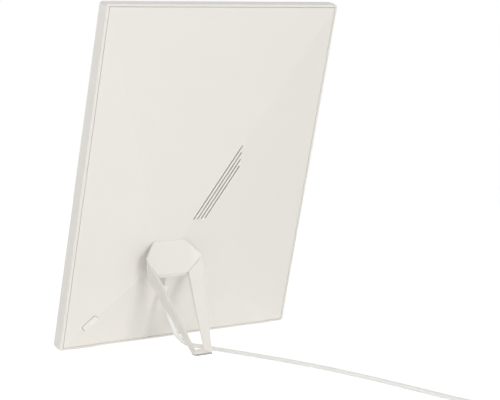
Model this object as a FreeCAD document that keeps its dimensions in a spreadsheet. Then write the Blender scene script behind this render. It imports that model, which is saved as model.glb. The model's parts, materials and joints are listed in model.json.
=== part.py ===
import FreeCAD, Part
import math
import os
import re

import Sketcher
from FreeCAD import Placement, Rotation, Vector

# Light therapy lamp, in millimetres. The panel leans back on a two-legged stand that folds.
# Part frame: X along the panel, Y to the rear, Z up, standing on Z = 0.
# Panel frame: x across, y out of the panel's back, z up the panel; y = z = 0 is its rear bottom edge.
# Hub frame: the panel frame with x = 0 at the middle of the stand's hub.

SIZES = {
    # Panel housing
    "panel_width": 243.3,
    "panel_height": 300,
    "frame_depth": 10.6,
    "frame_corner": 3,
    "frame_edge_round": 0.8,
    "frame_back_round": 1.8,
    "frame_wall": 2.2,
    "frame_side_wall": 3.0,
    "frame_shelf": 2.4,
    "bezel_thickness": 1.5,
    "bezel_width": 9,
    "cover_gap": 0.4,
    "panel_lean_angle": 14.62,
    # Optical stack, from the lit side to the back
    "stack_gap": 0.3,
    "diffuser_thickness": 1.2,
    "guide_thickness": 2.8,
    "guide_margin": 3.2,
    "reflector_thickness": 0.5,
    "back_plate_thickness": 0.8,
    "strip_thickness": 1.0,
    "strip_end_gap": 6,
    "led_size": 3.0,
    "led_height": 1.2,
    "led_margin": 0.1,
    "led_count": 24,
    # Rear cover: a shallow pyramid cut off at the hub
    "hub_from_middle": 34.35,
    "hub_height": 83,
    "plateau_half": 12.6,
    "plateau_below": 7.5,
    "plateau_above": 14.5,
    "plateau_rise": 13.4,
    "cover_wall": 2.0,
    "cover_flange": 5,
    "vent_width": 1.35,
    "vent_bottom": 114.4,
    "vent_left": -33.2,
    "vent_ridge_gap": -0.8,
    "vent_pitch": 3.55,
    "vent_count": 4,
    "baffle_thickness": 0.5,
    "baffle_margin": 5,
    "baffle_height": 70,
    # Power button on the lower right ridge of the cover
    "button_from_corner": 30.5,
    "button_length": 15.2,
    "button_width": 6.0,
    "button_corner": 1.8,
    "button_edge_round": 0.4,
    "button_gap": 0.3,
    "button_proud": 0.8,
    "button_flange": 1.2,
    "button_flange_thickness": 1.0,
    "button_flange_gap": 0.15,
    "stem_radius": 2.2,
    "stem_end": -0.3,
    "dome_gap": 0.05,
    "dome_base_radius": 2.8,
    "switch_size": 6.0,
    "switch_height": 0.9,
    "switch_board_length": 18,
    "switch_board_width": 9,
    "switch_board_thickness": 1.0,
    # Driver board and what it carries
    "board_left": -40,
    "board_right": 30,
    "board_low": 45,
    "board_high": 130,
    "board_thickness": 1.6,
    "standoff_height": 1.6,
    "standoff_radius": 2.5,
    "standoff_inset": 5,
    "choke_radius": 6,
    "choke_bore": 2.4,
    "choke_height": 6.5,
    "choke_x": -26,
    "choke_z": 66,
    "capacitor_radius": 4,
    "capacitor_height": 8,
    "capacitor_x": -28,
    "capacitor_z": 88,
    "controller_size": 7,
    "controller_height": 1.2,
    "controller_x": -4,
    "controller_z": 112,
    "lead_thickness": 0.5,
    "lead_width": 4,
    "led_lead_height": 104,
    # Direct current jack and plug
    "jack_size": 9,
    "jack_height": 10.8,
    "jack_bore": 2.85,
    "jack_pin_radius": 1.0,
    "jack_hole_gap": 0.35,
    "jack_pad_half": 6,
    "jack_pad_below": 9,
    "jack_pad_above": 2.5,
    "plug_half_width": 4.5,
    "plug_below": 8,
    "plug_above": 3.8,
    "plug_height": 6.7,
    "plug_edge_round": 1.2,
    "barrel_radius": 2.75,
    "barrel_bore": 1.1,
    "barrel_length": 9.4,
    "cord_height": 3.5,
    "relief_length": 9.5,
    "relief_radius": 2.5,
    "relief_tip_radius": 2.1,
    "relief_straight": 6.5,
    "cord_radius": 1.9,
    # Hub cap: a middle facet, two wings and a lip
    "cap_skin": 2.2,
    "cap_top_half": 16,
    "cap_top_lift": 0.5,
    "cap_corner_half": 28.6,
    "cap_corner_lift": 10.9,
    "cap_corner_above": 3,
    "cap_edge_half": 16.1,
    "cap_edge_lift": 12.6,
    "cap_edge_below": 10.6,
    "lip_half": 14.8,
    "lip_lift": 9.1,
    "lip_below": 15,
    # Hinge
    "pivot_lift": 2.8,
    "bracket_half": 17,
    "bracket_below": 3.3,
    "bracket_above": 11,
    "pin_radius": 1.25,
    "pin_start": 12,
    "pin_end": 20.8,
    "pin_gap": 0.05,
    "washer_thickness": 0.4,
    "washer_radius": 2.3,
    "ear_gap": 0.2,
    "ear_width": 3.4,
    "ear_radius": 2.4,
    "screw_radius": 1.0,
    "screw_head_radius": 2.0,
    "screw_head_height": 1.2,
    "screw_depth": 1.5,
    "screw_x": 8,
    "screw_below": 0.5,
    "screw_above": 6.5,
    # Legs and foot
    "foot_reach": 87.1,
    "foot_half": 8,
    "crotch_half": 4.4,
    "crotch_from_foot": 7.1,
    "leg_gap": 0.25,
    "leg_root_depth": 12.4,
    "leg_foot_depth": 4.3,
    "heel_along": 12,
    "heel_depth": 0.8,
    "foot_pad_thickness": 1.0,
    # Pads under the panel's bottom edge
    "edge_pad_length": 24,
    "edge_pad_inset": 14,
    "edge_pad_back": 2.2,
    "edge_pad_width": 3.5,
    "edge_pad_recess": 0.8,
    # Coil of spare cord and mains adapter on the floor
    "coil_x": -82,
    "coil_y": 332,
    "coil_outer": 32.3,
    "coil_inner": 13.3,
    "coil_round": 1.8,
    "tie_width": 6,
    "tie_thickness": 1.0,
    "adapter_length": 68,
    "adapter_width": 45,
    "adapter_height": 28,
    "adapter_round": 4,
    "adapter_face_thickness": 5,
    "adapter_face_inset": 1.5,
    "adapter_heading": 223.4,
    "adapter_cord_height": 7.0,
    "adapter_relief_length": 12,
    "adapter_relief_radius": 4.2,
    "adapter_relief_tip": 2.5,
    "prong_radius": 2.0,
    "prong_length": 19,
    "prong_spacing": 19,
}

# Places that follow from others: in the hub, in the panel frame, and the height of the coil's two layers
PLACES = {
    "plateau_low": "hub_height - plateau_below",
    "plateau_high": "hub_height + plateau_above",
    "jack_pad_low": "plateau_low - jack_pad_below",
    "jack_pad_high": "plateau_low + jack_pad_above",
    "plug_low": "plateau_low - plug_below",
    "plug_high": "plateau_low + plug_above",
    "cap_top_rise": "plateau_rise + cap_top_lift",
    "cap_corner_rise": "plateau_rise + cap_corner_lift",
    "cap_corner_height": "hub_height + cap_corner_above",
    "cap_edge_rise": "plateau_rise + cap_edge_lift",
    "cap_edge_height": "hub_height - cap_edge_below",
    "lip_rise": "plateau_rise + lip_lift",
    "lip_height": "hub_height - lip_below",
    "pivot_rise": "plateau_rise + pivot_lift",
    "bracket_low": "hub_height - bracket_below",
    "bracket_high": "hub_height + bracket_above",
    "screw_low": "hub_height - screw_below",
    "screw_high": "hub_height + screw_above",
    "coil_height": "4 * cord_radius",
}

doc = FreeCAD.newDocument("light_therapy_lamp")
dims = doc.addObject("Spreadsheet::Sheet", "dims")
for row, (alias, number) in enumerate(SIZES.items(), start=1):
    dims.set(f"A{row}", alias)
    dims.set(f"B{row}", str(number))
    dims.setAlias(f"B{row}", alias)
doc.recompute()


# ---- Sheet and document helpers ----


def sheet_formula(text):
    """The expression with each place written out and each alias read from the sheet."""
    def meaning(word):
        if word[0] in PLACES:
            return f"({sheet_formula(PLACES[word[0]])})"
        return f"dims.{word[0]}" if word[0] in SIZES else word[0]
    return re.sub(r"[a-z]\w*", meaning, str(text))


def value(text):
    return float(dims.evalExpression(sheet_formula(text)))


def bind(thing, prop, text):
    thing.setExpression(prop, sheet_formula(text))


def box(name, x, y, z):
    """A block between pairs of sheet formulas."""
    block = doc.addObject("Part::Box", name)
    for side, axis, (low, high) in (("Length", "x", x), ("Width", "y", y), ("Height", "z", z)):
        bind(block, side, f"({high}) - ({low})")
        bind(block, "Placement.Base." + axis, low)
    return block


ALONG = {
    "x": Rotation(Vector(0, 1, 0), 90),
    "y": Rotation(Vector(1, 0, 0), -90),
    "z": Rotation(),
}


def cylinder(name, axis, base, radius, length):
    """A cylinder from its base point along an axis, all as sheet formulas."""
    rod = doc.addObject("Part::Cylinder", name)
    rod.Placement = Placement(Vector(), ALONG[axis])
    bind(rod, "Radius", radius)
    bind(rod, "Height", length)
    for letter, place in zip("xyz", base):
        bind(rod, "Placement.Base." + letter, place)
    return rod


def cone(name, axis, base, radius, end_radius, length):
    taper = doc.addObject("Part::Cone", name)
    taper.Placement = Placement(Vector(), ALONG[axis])
    bind(taper, "Radius1", radius)
    bind(taper, "Radius2", end_radius)
    bind(taper, "Height", length)
    for letter, place in zip("xyz", base):
        bind(taper, "Placement.Base." + letter, place)
    return taper


def fused(name, *solids):
    union = doc.addObject("Part::MultiFuse", name)
    union.Shapes = list(solids)
    union.Refine = True
    return union


def cut(name, base, *tools):
    """The base without the tools, which are joined first when there are several."""
    difference = doc.addObject("Part::Cut", name)
    difference.Base = base
    difference.Tool = tools[0] if len(tools) == 1 else fused(name + "_tools", *tools)
    return difference


def common(name, one, other):
    overlap = doc.addObject("Part::Common", name)
    overlap.Base = one
    overlap.Tool = other
    return overlap


def grouped(name, solids):
    group = doc.addObject("Part::Compound", name)
    group.Links = list(solids)
    return group


def shaped(name, shape):
    """A sub-part whose shape comes from Part's own functions."""
    feature = doc.addObject("Part::Feature", name)
    feature.Shape = shape
    return feature


def rounded(name, base, radius, chosen):
    """The base with a fillet on each edge that the test picks."""
    doc.recompute()
    fillet = doc.addObject("Part::Fillet", name)
    fillet.Base = base
    size = value(radius)
    fillet.Edges = [(i, size, size) for i, edge in enumerate(base.Shape.Edges, start=1) if chosen(edge)]
    return fillet


def rectangle(body, name, x, y, z):
    """A sketched rectangle x by z on the body's XZ plane, moved out to y."""
    sketch = body.newObject("Sketcher::SketchObject", name)
    plane = next(f for f in body.Origin.OriginFeatures if f.Role == "XZ_Plane")
    sketch.AttachmentSupport = [(plane, "")]
    sketch.MapMode = "FlatFace"
    bind(sketch, "AttachmentOffset.Base.z", f"-({y})")
    low_x, high_x, low_z, high_z = (value(side) for side in (*x, *z))
    around = ((low_x, low_z), (high_x, low_z), (high_x, high_z), (low_x, high_z))
    corners = [Vector(across, up) for across, up in around]
    for i in range(4):
        sketch.addGeometry(Part.LineSegment(corners[i], corners[(i + 1) % 4]))
    for i in range(4):
        sketch.addConstraint(Sketcher.Constraint("Coincident", i, 2, (i + 1) % 4, 1))
        sketch.addConstraint(Sketcher.Constraint("Vertical" if i % 2 else "Horizontal", i))
    for direction, corner, place, side in (
        ("DistanceX", 0, low_x, x[0]),
        ("DistanceY", 0, low_z, z[0]),
        ("DistanceX", 2, high_x, x[1]),
        ("DistanceY", 2, high_z, z[1]),
    ):
        rule = sketch.addConstraint(Sketcher.Constraint(direction, -1, 1, corner, 1, place))
        bind(sketch, f"Constraints[{rule}]", side)
    return sketch


def pad(body, name, x, y, z):
    """A padded block between pairs of sheet formulas."""
    feature = body.newObject("PartDesign::Pad", name)
    feature.Profile = rectangle(body, name + "_sketch", x, y[1], z)
    bind(feature, "Length", f"({y[1]}) - ({y[0]})")
    return feature


def pocket(body, name, x, y, z):
    """A pocketed block between pairs of sheet formulas; it must take material away."""
    doc.recompute()
    before = body.Shape.Volume
    feature = body.newObject("PartDesign::Pocket", name)
    feature.Profile = rectangle(body, name + "_sketch", x, y[1], z)
    feature.Reversed = True
    bind(feature, "Length", f"({y[1]}) - ({y[0]})")
    doc.recompute()
    if body.Shape.Volume >= before:
        raise ValueError(f"{name} cuts nothing")
    return feature


def body_fillet(body, name, radius, chosen):
    doc.recompute()
    tip = body.Tip
    feature = body.newObject("PartDesign::Fillet", name)
    feature.Base = (tip, [f"Edge{i}" for i, edge in enumerate(tip.Shape.Edges, start=1) if chosen(edge)])
    bind(feature, "Radius", radius)
    return feature


def parallel_to(edge, axis):
    """Whether a straight edge runs along an axis."""
    if edge.Curve.TypeId != "Part::GeomLine":
        return False
    return abs(abs(edge.Curve.Direction.dot(axis)) - 1) < 1e-6


X_AXIS = Vector(1, 0, 0)
Y_AXIS = Vector(0, 1, 0)
Z_AXIS = Vector(0, 0, 1)

# ---- Frames ----

LEAN = math.radians(value("panel_lean_angle"))
# The rounded front edge at the bottom is the foremost point; the foot is the rearmost.
ROUND_REACH = math.sin(LEAN) + math.cos(LEAN) - 1
FOREMOST = value("frame_edge_round") * ROUND_REACH - value("frame_depth") * math.cos(LEAN)
MIDDLE_Y = (FOREMOST + value("foot_reach")) / 2
PANEL = Placement(Vector(0, -MIDDLE_Y, 0), Rotation(X_AXIS, -value("panel_lean_angle")))
HUB = PANEL.multiply(Placement(Vector(value("hub_from_middle"), 0, 0), Rotation()))
FLOOR = Placement()

subparts = []


def subpart(node, thing, frame):
    """Gives a finished object its node name and frame; one whose own place is bound is held in a group."""
    if any(path.lstrip(".").startswith("Placement") for path, _ in thing.ExpressionEngine):
        thing = grouped(node + "_group", [thing])
    doc.recompute()
    thing.Label = node
    thing.Placement = frame.multiply(thing.Placement)
    subparts.append(thing)
    return thing


# ---- Levels through the panel, as sheet formulas ----

HALF = "panel_width / 2"
CAVITY = f"({HALF} - frame_side_wall - frame_shelf)"
CAVITY_LOW = "(frame_wall + frame_shelf)"
CAVITY_HIGH = "(panel_height - frame_wall - frame_shelf)"
STACK_HALF = f"({CAVITY} - stack_gap)"
STACK_LOW = f"({CAVITY_LOW} + stack_gap)"
STACK_HIGH = f"({CAVITY_HIGH} - stack_gap)"
DIFFUSER_FRONT = "(bezel_thickness - frame_depth)"
GUIDE_FRONT = f"({DIFFUSER_FRONT} + diffuser_thickness)"
REFLECTOR_FRONT = f"({GUIDE_FRONT} + guide_thickness)"
PLATE_FRONT = f"({REFLECTOR_FRONT} + reflector_thickness)"
PLATE_BACK = f"({PLATE_FRONT} + back_plate_thickness)"
BOARD_FRONT = f"({PLATE_BACK} + standoff_height)"
BOARD_BACK = f"({BOARD_FRONT} + board_thickness)"
COVER_HALF = f"({HALF} - frame_side_wall - cover_gap)"
COVER_LOW = "(frame_wall + cover_gap)"
COVER_HIGH = "(panel_height - frame_wall - cover_gap)"
PLATE_HALF = f"({CAVITY} - strip_thickness - stack_gap)"


def front_frame():
    """The moulded frame: bezel at the front, a shelf for the stack, a seat for the cover."""
    body = doc.addObject("PartDesign::Body", "front_frame_body")
    pad(body, "frame_block", (f"-{HALF}", HALF), ("-frame_depth", "0"), ("0", "panel_height"))
    body_fillet(body, "frame_corners", "frame_corner", lambda edge: parallel_to(edge, Y_AXIS))
    middle = value("-frame_depth / 2")
    body_fillet(body, "frame_front_edge", "frame_edge_round", lambda edge: edge.BoundBox.YMax < middle)
    body_fillet(body, "frame_back_edge", "frame_back_round", lambda edge: edge.BoundBox.YMin > middle)
    pocket(
        body, "cover_seat_pocket",
        (f"frame_side_wall - {HALF}", f"{HALF} - frame_side_wall"), ("-cover_wall", "0"),
        ("frame_wall", "panel_height - frame_wall"),
    )
    pocket(
        body, "stack_pocket",
        (f"-{CAVITY}", CAVITY), (DIFFUSER_FRONT, "-cover_wall"), (CAVITY_LOW, CAVITY_HIGH),
    )
    pocket(
        body, "window",
        (f"bezel_width - {HALF}", f"{HALF} - bezel_width"), ("-frame_depth", DIFFUSER_FRONT),
        ("bezel_width", "panel_height - bezel_width"),
    )
    for side, x in edge_pad_spans().items():
        pocket(
            body, f"edge_pad_seat_{side}", x, ("-edge_pad_back - edge_pad_width", "-edge_pad_back"),
            ("0", "edge_pad_recess"),
        )
    subpart("front_frame", body, PANEL)


def edge_pad_spans():
    outer = f"{HALF} - edge_pad_inset"
    inner = f"{HALF} - edge_pad_inset - edge_pad_length"
    return {"left": (f"-({outer})", f"-({inner})"), "right": (inner, outer)}


def edge_pads():
    """Rubber strips under the panel's bottom, cut level with the floor."""
    drop = "(edge_pad_back + edge_pad_width)"
    for side, x in edge_pad_spans().items():
        strip = box(
            f"edge_strip_{side}", x, ("-edge_pad_back - edge_pad_width", "-edge_pad_back"),
            (f"-{drop}", "edge_pad_recess"),
        )
        floor = doc.addObject("Part::Box", f"edge_floor_{side}")
        bind(floor, "Length", "panel_width")
        bind(floor, "Width", f"4 * {drop}")
        bind(floor, "Height", f"4 * {drop}")
        reach = 2 * value(drop)
        level = Placement(Vector(), Rotation(X_AXIS, value("panel_lean_angle")))
        below = Placement(Vector(value(f"-{HALF}"), -reach, -2 * reach), Rotation())
        floor.Placement = level.multiply(below)
        subpart(f"edge_pad_{side}", cut(f"edge_pad_{side}_cut", strip, floor), PANEL)


def flat_sheet(node, x, y, z):
    body = doc.addObject("PartDesign::Body", node + "_body")
    pad(body, node + "_pad", x, y, z)
    return body


def optical_stack():
    """Diffuser, edge-lit light guide and reflector, laid one on the other."""
    tall = (STACK_LOW, STACK_HIGH)
    sheets = (
        ("diffuser_panel", STACK_HALF, DIFFUSER_FRONT, GUIDE_FRONT),
        ("light_guide", f"({CAVITY} - guide_margin)", GUIDE_FRONT, REFLECTOR_FRONT),
        ("reflector_sheet", PLATE_HALF, REFLECTOR_FRONT, PLATE_FRONT),
    )
    for node, half, front, back in sheets:
        subpart(node, flat_sheet(node, (f"-{half}", half), (front, back), tall), PANEL)


def led_strips():
    """A strip of light-emitting diodes along each upright edge of the guide, with a tab at the back."""
    count = int(value("led_count"))
    for side, sign in (("left", -1), ("right", 1)):
        outer = f"{sign} * {CAVITY}"
        inner = f"{sign} * ({CAVITY} - strip_thickness)"
        tip = f"{sign} * ({CAVITY} - strip_thickness - led_height)"
        board_x = (outer, inner) if sign < 0 else (inner, outer)
        led_x = (inner, tip) if sign < 0 else (tip, inner)
        low = f"({CAVITY_LOW} + strip_end_gap)"
        high = f"({CAVITY_HIGH} - strip_end_gap)"
        board = box(f"strip_board_{side}", board_x, (GUIDE_FRONT, REFLECTOR_FRONT), (low, high))
        tab = box(
            f"strip_tab_{side}", board_x, (REFLECTOR_FRONT, f"{PLATE_BACK} + lead_thickness"),
            ("led_lead_height - lead_width", "led_lead_height"),
        )
        solids = [fused(f"strip_{side}", board, tab)]
        for i in range(count):
            middle = f"({low} + ({high} - {low}) * {(i + 0.5)} / led_count)"
            solids.append(box(
                f"led_{side}_{i}", led_x,
                (f"{GUIDE_FRONT} + led_margin", f"{REFLECTOR_FRONT} - led_margin"),
                (f"{middle} - led_size / 2", f"{middle} + led_size / 2"),
            ))
        subpart(f"led_strip_{side}", grouped(f"led_strip_{side}_group", solids), PANEL)


def board_corners():
    """The four standoff centres on the driver board, in the hub frame, as sheet formulas."""
    for x in ("(board_left + standoff_inset)", "(board_right - standoff_inset)"):
        for z in ("(board_low + standoff_inset)", "(board_high - standoff_inset)"):
            yield x, z


def back_plate():
    """The sheet that stiffens the stack, with the driver board's four standoffs."""
    across, tall = (f"-{PLATE_HALF}", PLATE_HALF), (STACK_LOW, STACK_HIGH)
    plate = flat_sheet("back_plate", across, (PLATE_FRONT, PLATE_BACK), tall)
    posts = [
        cylinder(
            f"standoff_{i}", "y", (f"hub_from_middle + {x}", PLATE_BACK, z),
            "standoff_radius", "standoff_height",
        )
        for i, (x, z) in enumerate(board_corners())
    ]
    subpart("back_plate", fused("back_plate_union", plate, *posts), PANEL)


def pyramid(name, lift):
    """The cover's pyramid, moved along y."""
    wedge = doc.addObject("Part::Wedge", name)
    for side, text in (
        ("Xmin", f"-{COVER_HALF}"),
        ("Xmax", COVER_HALF),
        ("Zmin", COVER_LOW),
        ("Zmax", COVER_HIGH),
        ("Ymin", lift),
        ("Ymax", f"plateau_rise + ({lift})"),
        ("X2min", "hub_from_middle - plateau_half"),
        ("X2max", "hub_from_middle + plateau_half"),
        ("Z2min", "plateau_low"),
        ("Z2max", "plateau_high"),
    ):
        bind(wedge, side, text)
    return wedge


def ridge_to(corner_x, corner_z, plateau_x, plateau_z):
    """Start, plan direction and plan length of a ridge from a cover corner to a plateau corner."""
    start = Vector(value(corner_x), 0, value(corner_z))
    run = Vector(value(plateau_x), 0, value(plateau_z)) - start
    length = run.Length
    return start, run.normalize(), length


def button_frame():
    """A frame on the lower right ridge: x up along the ridge in plan, y out of the panel."""
    start, run, length = ridge_to(COVER_HALF, COVER_LOW, "hub_from_middle + plateau_half", "plateau_low")
    along = value("button_from_corner")
    rise = value("plateau_rise") * along / length
    turn = math.degrees(math.atan2(-run.z, run.x))
    slope = math.degrees(math.atan2(value("plateau_rise"), length))
    return Placement(start + run * along + Vector(0, rise, 0), Rotation(Y_AXIS, turn)), slope


BUTTON_SPOT, RIDGE_SLOPE = button_frame()


def upright_bar(name, half_length, half_width, corner, low, high):
    """A bar with rounded ends, standing along y on the button's spot."""
    along, across = (f"-({half_length})", half_length), (f"-({half_width})", half_width)
    block = box(name + "_block", along, (low, high), across)
    return rounded(name, block, corner, lambda edge: parallel_to(edge, Y_AXIS))


def ridge_trim(name, top):
    """A block whose upper face is parallel to the ridge, at a height over it."""
    size = 2 * value("button_length")
    trim = doc.addObject("Part::Box", name)
    bind(trim, "Length", "4 * button_length")
    bind(trim, "Width", "2 * button_length")
    bind(trim, "Height", "4 * button_length")
    tilt = Placement(Vector(0, value(top), 0), Rotation(Z_AXIS, RIDGE_SLOPE))
    trim.Placement = tilt.multiply(Placement(Vector(-size, -size, -size), Rotation()))
    return trim


def vents():
    """Slots side by side along the upper ridge; all end on one level and on one upright line."""
    inner = "hub_from_middle - plateau_half"
    start, run, length = ridge_to(f"-{COVER_HALF}", COVER_HIGH, inner, "plateau_high")
    across = Vector(run.z, 0, -run.x)
    slots = []
    for i in range(int(value("vent_count"))):
        anchor = start + across * (value("vent_ridge_gap") + i * value("vent_pitch"))
        upper = anchor + run * ((value("vent_left") - anchor.x) / run.x)
        lower = anchor + run * ((value("vent_bottom") - anchor.z) / run.z)
        slot = doc.addObject("Part::Box", f"vent_{i}")
        slot.Length = (lower - upper).Length
        bind(slot, "Width", "2 * plateau_rise")
        bind(slot, "Height", "vent_width")
        turn = Rotation(Y_AXIS, math.degrees(math.atan2(-run.z, run.x)))
        middle = Placement(Vector(0, 0, value("-vent_width / 2")), Rotation())
        slot.Placement = Placement(upper, turn).multiply(middle)
        slots.append(slot)
    return slots


def rear_cover():
    """The shell over the electronics, with vents, button opening, jack pad and snap clips."""
    rim = box("cover_rim", (f"-{COVER_HALF}", COVER_HALF), ("-cover_wall", "0"), (COVER_LOW, COVER_HIGH))
    mouth = box(
        "cover_mouth", (f"cover_flange - {COVER_HALF}", f"{COVER_HALF} - cover_flange"),
        ("-cover_wall", "plateau_rise"), (f"{COVER_LOW} + cover_flange", f"{COVER_HIGH} - cover_flange"),
    )
    hollow = common("cover_hollow", pyramid("cover_inner", "-cover_wall"), mouth)
    shell = cut("cover_shell", fused("cover_outer", rim, pyramid("cover_pyramid", "0")), hollow)
    jack_pad = box(
        "jack_pad", ("hub_from_middle - jack_pad_half", "hub_from_middle + jack_pad_half"),
        ("plateau_rise - cover_wall", "plateau_rise"), ("jack_pad_low", "jack_pad_high"),
    )
    jack_hole = cylinder(
        "jack_hole", "y", ("hub_from_middle", "0", "plateau_low"),
        "barrel_radius + jack_hole_gap", "2 * plateau_rise",
    )
    opening = upright_bar(
        "button_opening", "button_length / 2 + button_gap", "button_width / 2 + button_gap",
        "button_corner + button_gap", "-plateau_rise", "plateau_rise",
    )
    opening.Placement = BUTTON_SPOT
    deep = "2 * plateau_rise"
    holes = [
        cylinder(f"screw_hole_{i}", "y", (f"hub_from_middle + {x}", "0", z), "screw_radius", deep)
        for i, (x, z) in enumerate(hub_screw_places())
    ]
    cover = fused("cover_with_pad", shell, jack_pad)
    cover = cut("rear_cover_cut", cover, jack_hole, opening, *holes, *vents())
    subpart("rear_cover", cover, PANEL)


def vent_baffle():
    """A dark mesh sheet that follows the cover's inner face behind the vents."""
    region = box(
        "baffle_region", ("vent_left - baffle_margin", "hub_from_middle - plateau_half - baffle_margin"),
        ("0", "plateau_rise"), ("vent_bottom - baffle_margin", "vent_bottom + baffle_height"),
    )
    outer = pyramid("baffle_outer", "-cover_wall")
    inner = pyramid("baffle_inner", "-cover_wall - baffle_thickness")
    sheet = cut("baffle_sheet", common("baffle_slab", region, outer), inner)
    subpart("vent_baffle", sheet, PANEL)


def power_button():
    """The cap with its retaining flange and stem, pressed square into the panel."""
    cap_bar = upright_bar(
        "button_cap_bar", "button_length / 2", "button_width / 2", "button_corner",
        "-plateau_rise", "plateau_rise",
    )
    cap = common("button_cap", cap_bar, ridge_trim("cap_trim", "button_proud"))
    under_crown = value("button_proud - plateau_rise / 3")
    crown = rounded(
        "button_crown", cap, "button_edge_round",
        lambda edge: edge.BoundBox.YMin > under_crown and not parallel_to(edge, Y_AXIS),
    )
    flange_bar = upright_bar(
        "button_flange_bar", "button_length / 2 + button_flange", "button_width / 2 + button_flange",
        "button_corner", "-plateau_rise", "plateau_rise",
    )
    under = flange_level()
    flange = common("button_flange_top", flange_bar, ridge_trim("flange_trim", under))
    lower = ridge_trim("flange_lower_trim", f"{under} - button_flange_thickness")
    plate = cut("button_flange_plate", flange, lower)
    into_flange = f"{under} - button_flange_thickness / 2"
    cap_cut = cut("button_cap_cut", crown, ridge_trim("cap_lower_trim", into_flange))
    stem_base = f"(stem_end - {BUTTON_SPOT.Base.y})"
    stem = cylinder("button_stem", "y", ("0", stem_base, "0"), "stem_radius", f"{into_flange} - {stem_base}")
    button = fused("power_button_union", cap_cut, plate, stem)
    subpart("power_button", button, PANEL.multiply(BUTTON_SPOT))


def flange_level():
    """Where the flange's upper face lies under the ridge, clear of the cover's inner facets."""
    side_slope = value("plateau_rise") / value(f"{COVER_HALF} - hub_from_middle - plateau_half")
    low_slope = value("plateau_rise") / value(f"plateau_low - {COVER_LOW}")
    _, run, _ = ridge_to(COVER_HALF, COVER_LOW, "hub_from_middle + plateau_half", "plateau_low")
    fall = max(side_slope * abs(run.z), low_slope * abs(run.x))
    drop = fall * value("button_width / 2 + button_flange")
    return -(value("cover_wall + button_flange_gap") + drop)


def switch():
    """The small board under the button, its tactile switch, the silicone dome and the lead."""
    spot = Placement(Vector(BUTTON_SPOT.Base.x, 0, BUTTON_SPOT.Base.z), BUTTON_SPOT.Rotation)
    frame = PANEL.multiply(spot)
    board_top = f"({PLATE_BACK} + switch_board_thickness)"
    switch_top = f"({board_top} + switch_height)"
    board = box(
        "switch_board_box",
        ("-switch_board_length / 2", "switch_board_length / 2"),
        (PLATE_BACK, board_top),
        ("-switch_board_width / 2", "switch_board_width / 2"),
    )
    subpart("switch_board", board, frame)
    tact = box(
        "tact_box", ("-switch_size / 2", "switch_size / 2"), (board_top, switch_top),
        ("-switch_size / 2", "switch_size / 2"),
    )
    subpart("tact_switch", tact, frame)
    dome = cone(
        "dome_cone", "y", ("0", switch_top, "0"), "dome_base_radius", "stem_radius",
        f"stem_end - dome_gap - {switch_top}",
    )
    subpart("button_dome", dome, frame)
    to_board = BUTTON_SPOT.Base.x - value("hub_from_middle + board_right")
    end = abs(to_board / BUTTON_SPOT.Rotation.multVec(X_AXIS).x) + value("lead_width")
    across = ("-lead_width / 2", "lead_width / 2")
    on_plate = (PLATE_BACK, f"{PLATE_BACK} + lead_thickness")
    lead = box("switch_lead_flat", ("switch_board_length / 2", end), on_plate, across)
    riser = box("switch_lead_riser", (f"{end} - lead_thickness", end), (PLATE_BACK, BOARD_FRONT), across)
    subpart("switch_lead", fused("switch_lead_union", lead, riser), frame)


def led_leads():
    """Flat leads on the back plate, from the driver board out to each strip's tab."""
    left_end = "(hub_from_middle + board_left + lead_width)"
    right_end = "(hub_from_middle + board_right - lead_width)"
    strip = f"({CAVITY} - strip_thickness)"
    levels = ("led_lead_height - lead_width", "led_lead_height")
    for side, x, riser_x in (
        ("left", (f"-{strip}", left_end), (f"{left_end} - lead_thickness", left_end)),
        ("right", (right_end, strip), (right_end, f"{right_end} + lead_thickness")),
    ):
        flat = box(f"led_lead_flat_{side}", x, (PLATE_BACK, f"{PLATE_BACK} + lead_thickness"), levels)
        riser = box(f"led_lead_riser_{side}", riser_x, (PLATE_BACK, BOARD_FRONT), levels)
        subpart(f"led_lead_{side}", fused(f"led_lead_{side}_union", flat, riser), PANEL)


def driver_board():
    """The board on its standoffs, with choke, capacitor, controller and power jack."""
    thick = (BOARD_FRONT, BOARD_BACK)
    board = flat_sheet("driver_board", ("board_left", "board_right"), thick, ("board_low", "board_high"))
    subpart("driver_board", board, HUB)
    spot = ("choke_x", BOARD_BACK, "choke_z")
    ring = cylinder("choke_ring", "y", spot, "choke_radius", "choke_height")
    bore = cylinder("choke_hole", "y", spot, "choke_bore", "choke_height")
    subpart("board_choke", cut("choke_cut", ring, bore), HUB)
    spot = ("capacitor_x", BOARD_BACK, "capacitor_z")
    subpart("board_capacitor", cylinder("can", "y", spot, "capacitor_radius", "capacitor_height"), HUB)
    chip = box(
        "chip", ("controller_x - controller_size / 2", "controller_x + controller_size / 2"),
        (BOARD_BACK, f"{BOARD_BACK} + controller_height"),
        ("controller_z - controller_size / 2", "controller_z + controller_size / 2"),
    )
    subpart("board_controller", chip, HUB)
    housing = box(
        "jack_housing", ("-jack_size / 2", "jack_size / 2"), (BOARD_BACK, f"{BOARD_BACK} + jack_height"),
        ("plateau_low - jack_size / 2", "plateau_low + jack_size / 2"),
    )
    floor = ("0", "plateau_rise - barrel_length - jack_hole_gap", "plateau_low")
    bore = cylinder("jack_bore_hole", "y", floor, "jack_bore", "2 * plateau_rise")
    pin = cylinder("jack_pin", "y", floor, "jack_pin_radius", "barrel_length - cover_wall")
    subpart("dc_jack", fused("dc_jack_union", cut("jack_shell", housing, bore), pin), HUB)


def cap_corners():
    """Upper corners of the hub cap, mirrored by the sign."""
    def corner(half, rise, height):
        return lambda sign: Vector(sign * value(half), value(rise), value(height))
    return (
        corner("cap_top_half", "cap_top_rise", "plateau_high"),
        corner("cap_corner_half", "cap_corner_rise", "cap_corner_height"),
        corner("cap_edge_half", "cap_edge_rise", "cap_edge_height"),
        corner("lip_half", "lip_rise", "lip_height"),
    )


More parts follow.
